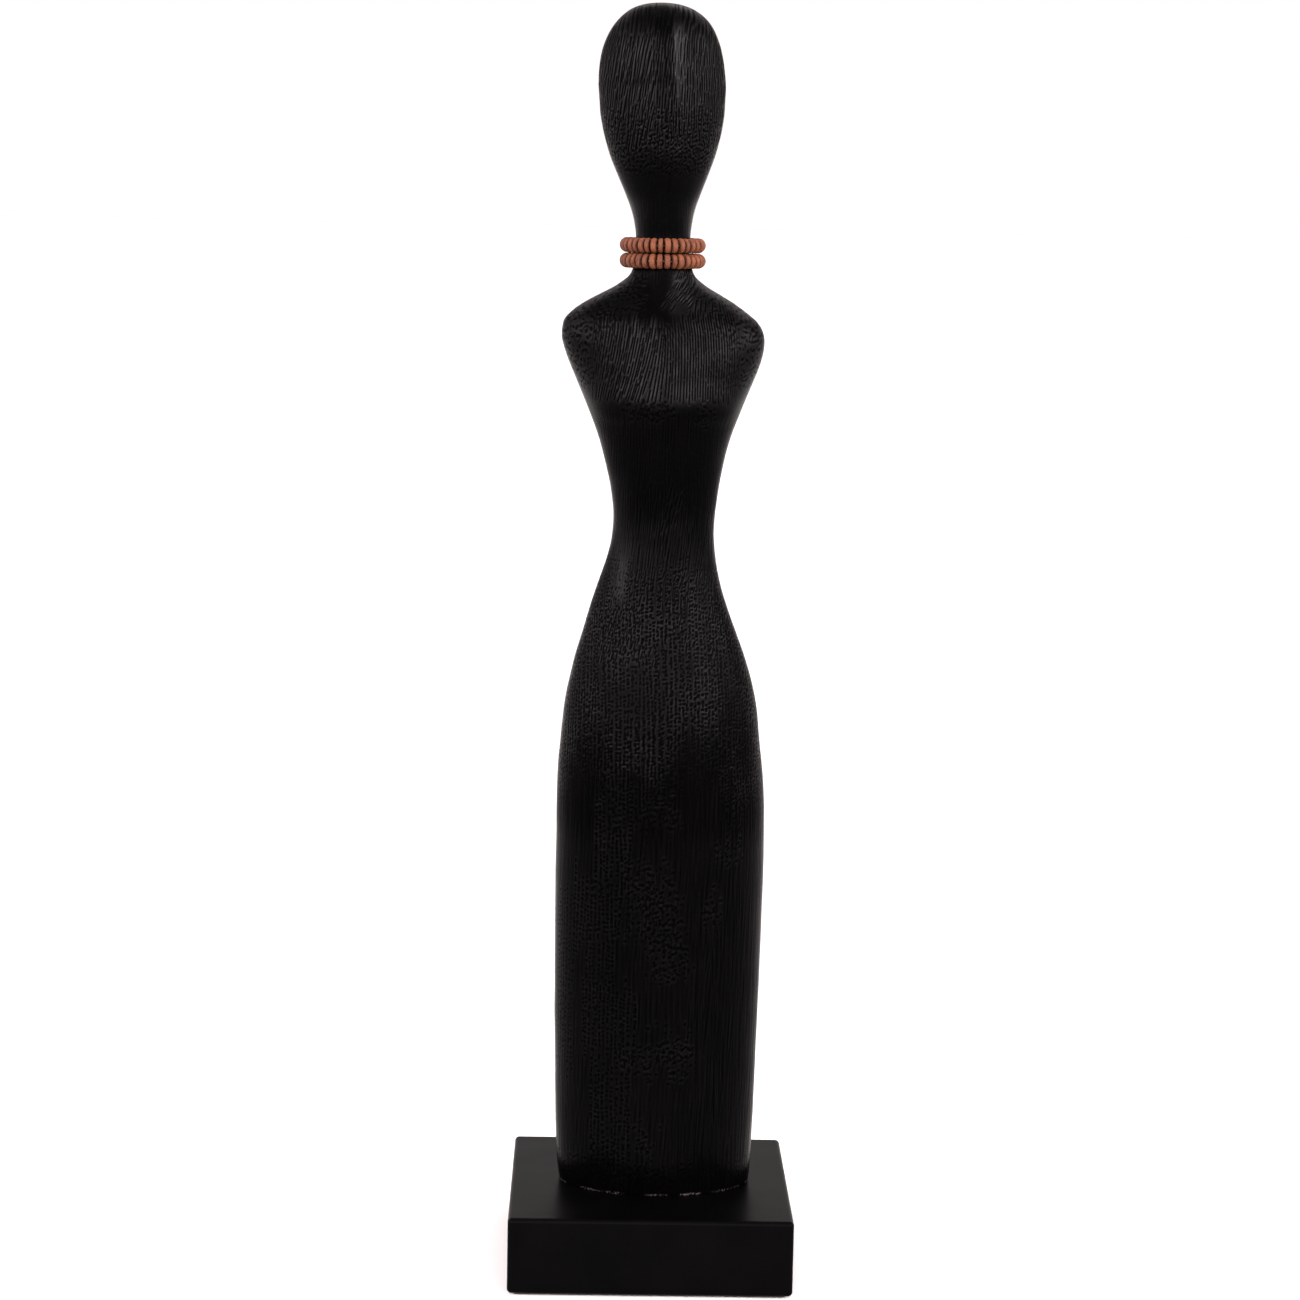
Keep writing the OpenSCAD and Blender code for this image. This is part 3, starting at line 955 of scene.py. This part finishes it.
def bead_outline(radius, thickness, hole, rounding):
    """Half section of a bead, from one end of its hole over the rim to the other."""
    half = thickness / 2
    turn = np.linspace(0, math.pi / 2, 9)
    rim_r = radius - rounding + rounding * np.sin(turn) ** 0.8
    rim_z = half * np.cos(turn) ** 0.8
    edge = 0.22 * MM
    flat = np.linspace(hole + edge, radius - rounding, 5)[:-1]
    top = [(hole, 0.0), (hole, half - 1.4 * edge), (hole + 0.35 * edge, half - 0.75 * edge)]
    top += [(r, half - 0.04 * MM * (1 - (r - hole) / (radius - hole))) for r in flat]
    top += list(zip(rim_r, rim_z))
    bottom = [(r, -h) for r, h in top[-2:0:-1]]
    return np.array(top + bottom)


def bead(name, points, centre, body, node, number, tone_and_shade):
    """One disc bead in place of a CAD solid, with small irregularities of its own."""
    middle = points.mean(0)
    _, axes = np.linalg.eigh(np.cov((points - middle).T))
    axis = axes[:, 0]
    outward = middle - centre
    axis = axis * np.sign(np.cross([0, 0, 1], outward) @ axis)
    along = (points - middle) @ axis
    away = points - middle - along[:, None] * axis
    distance = np.linalg.norm(away, axis=1)
    own = random.Random(number)
    radius, hole = distance.max(), distance.min()
    thickness = (along.max() - along.min()) * own.uniform(0.99, 1.06)
    outline = bead_outline(radius, thickness, hole, own.uniform(0.9, 1.25) * MM)
    lean = Matrix.Rotation(own.uniform(-0.035, 0.035), 3, Vector((0, 0, 1)))
    lean = lean @ Matrix.Rotation(own.uniform(-0.03, 0.03), 3, Vector(outward).normalized())
    axis = np.array(lean @ Vector(axis))
    side = np.cross(axis, [0, 0, 1])
    side /= np.linalg.norm(side)
    up = np.cross(side, axis)
    turn = np.arange(BEAD_AROUND) * 2 * math.pi / BEAD_AROUND
    radial, level = outline[:, 0][:, None], outline[:, 1][:, None]
    full = smoothstep(hole * 1.2, radius, radial)
    oval, bumpy = (np.sin(waves * turn + own.uniform(0, 6)) for waves in (2, 5))
    wobble = 1 - full * (0.007 * oval + 0.003 * bumpy - BEAD_GROWTH)
    tilt = 1 + 0.05 * np.sin(turn + own.uniform(0, 6)) * full
    ring = (
        middle + axis * own.uniform(-0.16, 0.16) * MM
        + (radial * wobble * np.cos(turn))[..., None] * side
        + (radial * wobble * np.sin(turn))[..., None] * up
        + (level * tilt + 0 * turn)[..., None] * axis
    )
    flat = ring.reshape(-1, 3)
    dent = 0.05 * np.clip(value_noise(flat / MM, 1.1, 40 + number) + 0.1, 0, None)
    back = flat - (middle + ((flat - middle) @ axis)[:, None] * axis)
    back /= np.maximum(np.linalg.norm(back, axis=1, keepdims=True), 1e-9)
    flat = flat - back * dent[:, None] * MM * np.repeat(full.ravel(), BEAD_AROUND)[:, None]
    piece = make_mesh(name, flat, tube_faces(len(outline), BEAD_AROUND, True)[:, ::-1])
    add_values(piece, "tone_and_shade", np.full(len(flat), tone_and_shade))
    # Painted highlight: the rim is painted lighter, except in its dents.
    rim_highlight = np.repeat(smoothstep(0.86, 0.98, outline[:, 0] / radius), BEAD_AROUND)
    add_values(piece, "rim_highlight", rim_highlight * (1 - smoothstep(0.1, 0.9, dent / 0.05)))
    piece.data.materials.append(bead_material)
    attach(piece, body)
    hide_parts(node)


def bead_strand(strand, seed):
    node, body = strand + "_beads", strand + "_strand"
    low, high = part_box(strand + "_thread")
    centre = np.array([(low.x + high.x) / 2, 0, (low.z + high.z) / 2])
    solids = solids_of(node)
    turn = [math.atan2(*(s.mean(0) - centre)[[1, 0]]) % (2 * math.pi) for s in solids]
    tones = random.Random(seed)
    # Every bead has a tone of its own, at random, and on top of it a painted shade across the
    # strand: the beads on the figure's left are painted lighter and those on its right darker.
    for number, k in enumerate(np.argsort(turn)):
        name = f"{strand}_bead_{number + 1:02d}"
        tone_and_shade = min(max(0.7 * tones.random() + 0.28 * math.cos(turn[k]) + 0.15, 0.0), 1.0)
        bead(name, solids[k], centre, body, node, seed * 100 + number, tone_and_shade)


def twisted_thread(strand):
    """Two plies laid round each other in a loop, and a whipped knot at the back."""
    node, body = strand + "_thread", strand + "_loop"
    low, high = (np.array(corner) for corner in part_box(node))
    middle = (low + high) / 2
    loop = (high[0] - low[0]) / 2 - THREAD_RADIUS
    middle[1] = 0
    knot = high[1] - loop
    plies, around = [], 8
    s = np.arange(LOOP_STEPS) * 2 * math.pi / LOOP_STEPS
    outward = np.stack([np.cos(s), np.sin(s), 0 * s], 1)
    upward = np.array([0, 0, 1.0])
    for ply in (0, math.pi):
        twist = PLY_TWISTS * s + ply
        line = middle + outward * (loop + PLY_OFFSET * np.cos(twist))[:, None]
        line = line + upward * (PLY_OFFSET * np.sin(twist))[:, None]
        plies.append((line, PLY_RADIUS, True))
    t = np.linspace(0, 1, 120)
    coil = KNOT_TURNS * 2 * math.pi * t
    bulge = (knot - 0.2 * MM) * (0.72 + 0.28 * np.sin(math.pi * t)) * 0.98
    line = middle + np.stack([
        (t - 0.5) * KNOT_WIDTH, loop + bulge * np.cos(coil), bulge * np.sin(coil)
    ], 1)
    plies.append((line, TWINE_RADIUS, False))
    points, quads, caps = [], [], []
    for line, radius, closed in plies:
        ahead = np.roll(line, -1, 0) - np.roll(line, 1, 0) if closed else np.gradient(line, axis=0)
        ahead /= np.linalg.norm(ahead, axis=1, keepdims=True)
        side = line - middle
        side -= (side * ahead).sum(1, keepdims=True) * ahead
        side /= np.linalg.norm(side, axis=1, keepdims=True)
        up = np.cross(ahead, side)
        turn = np.arange(around) * 2 * math.pi / around
        tube = line[:, None] + radius * (
            np.cos(turn)[None, :, None] * side[:, None] + np.sin(turn)[None, :, None] * up[:, None]
        )
        first = sum(len(part) for part in points)
        points.append(tube.reshape(-1, 3))
        quads.append(tube_faces(len(line), around, closed) + first)
        if not closed:
            end = first + (len(line) - 1) * around
            for k in range(1, around - 1):
                caps += [(first, first + k + 1, first + k), (end, end + k, end + k + 1)]
    points, quads = np.concatenate(points), np.concatenate(quads)
    piece = make_mesh(strand + "_cotton", points, quads, np.array(caps))
    piece.data.materials.append(thread_material)
    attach(piece, body)
    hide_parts(node)


# ------ hidden parts

def repaint(node, material):
    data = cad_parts[node].data
    data.materials.clear()
    data.materials.append(material)


# ------ studio

FLOOR_REACH = 40.0
SKY_LEVEL = 0.35
CEILING_LEVEL = 0.9
BACK_LEVEL = 1.7
TENT_LEVEL = 4.4
TENT_COLOUR = (1.1, 1.0, 1.0, 1)


def studio_floor():
    line = np.linspace(-FLOOR_REACH, FLOOR_REACH, 9)
    u, v = np.meshgrid(line, line, indexing="ij")
    points = np.stack([u.ravel(), v.ravel(), 0 * u.ravel()], 1)
    floor = make_mesh("studio_floor", points, grid_faces(*u.shape))
    floor.data.materials.append(floor_paper())


def lamp(name, kind, azimuth, elevation, strength, colour=(1, 1, 1)):
    """A lamp facing the middle of the object. Azimuth 0 is at the camera's side."""
    data = bpy.data.lights.new(name, kind)
    data.energy, data.color = strength, colour
    light = bpy.data.objects.new(name, data)
    scene.collection.objects.link(light)
    a, e = math.radians(azimuth), math.radians(elevation)
    away = Vector((math.sin(a) * math.cos(e), -math.cos(a) * math.cos(e), math.sin(e)))
    light.rotation_mode = "QUATERNION"
    light.rotation_quaternion = away.to_track_quat("Z", "Y")
    return light, away


def softbox(name, azimuth, elevation, distance, width, height, power, colour):
    """A soft panel near the object."""
    light, away = lamp(name, "AREA", azimuth, elevation, power, colour)
    light.data.shape, light.data.size, light.data.size_y = "RECTANGLE", width, height
    light.location = (cad_low + cad_high) / 2 + away * distance
    light.visible_camera = False


def distant_panel(name, azimuth, elevation, spread, strength):
    """A large soft panel so far away that it lights the whole floor alike."""
    light, _ = lamp(name, "SUN", azimuth, elevation, strength)
    light.data.angle = math.radians(spread)


def studio_world():
    """A white horizon, a dim sky with a paler ceiling, a broad bright tent in front and a
    dimmer one high up behind."""
    world = bpy.data.worlds.new("studio")
    scene.world = world
    nodes = Nodes(world)

    def fade(axis, start, stop, low, high):
        return nodes.spread(parts[axis], start, stop, low, high, interpolation_type="SMOOTHSTEP")

    def joined(operation, *levels):
        total = levels[0]
        for level in levels[1:]:
            total = nodes.math(operation, total, level)
        return total

    generated = nodes.node("TexCoord").outputs["Generated"]
    parts = nodes.node("SeparateXYZ", {"Vector": generated}).outputs
    horizon = fade("Z", 0.27, 0.42, 1.0, SKY_LEVEL)
    ceiling = fade("Z", 0.8, 0.95, 0, CEILING_LEVEL)
    front_height = joined("MULTIPLY", fade("Z", 0.02, 0.12, 0, 1), fade("Z", 0.95, 0.55, 0, 1))
    front = joined("MULTIPLY", fade("Y", 0.3, -0.2, 0.0, TENT_LEVEL), front_height)
    back_height = joined("MULTIPLY", fade("Z", 0.35, 0.55, 0, 1), fade("Z", 0.9, 0.7, 0, 1))
    back = joined("MULTIPLY", fade("Y", 0.0, 0.4, 0.0, BACK_LEVEL), back_height)
    level = joined("ADD", horizon, ceiling, front, back)
    background = nodes.node("Background", {"Color": TENT_COLOUR, "Strength": level})
    nodes.node("OutputWorld", {"Surface": background.outputs[0]})


bead_material = bead_wood()
thread_material = cotton_thread()
carved_figure()
plinth_block()
bead_strand("upper", 24568)
bead_strand("lower", 5842)
twisted_thread("upper")
twisted_thread("lower")
steel = screw_steel()
repaint("base_screw_left", steel)
repaint("base_screw_right", steel)
repaint("underside_pad", pad_rubber())

studio_floor()
studio_world()
distant_panel("low_key", 46, 14, 13, 0.5)
distant_panel("high_key", 46, 34, 13, 0.6)
distant_panel("side_key", 84, 22, 20, 0.35)
distant_panel("left_key", -36, 26, 16, 0.5)
softbox("left_panel", -104, 18, 2.6, 1.2, 1.8, 9, (1, 0.87, 0.87))
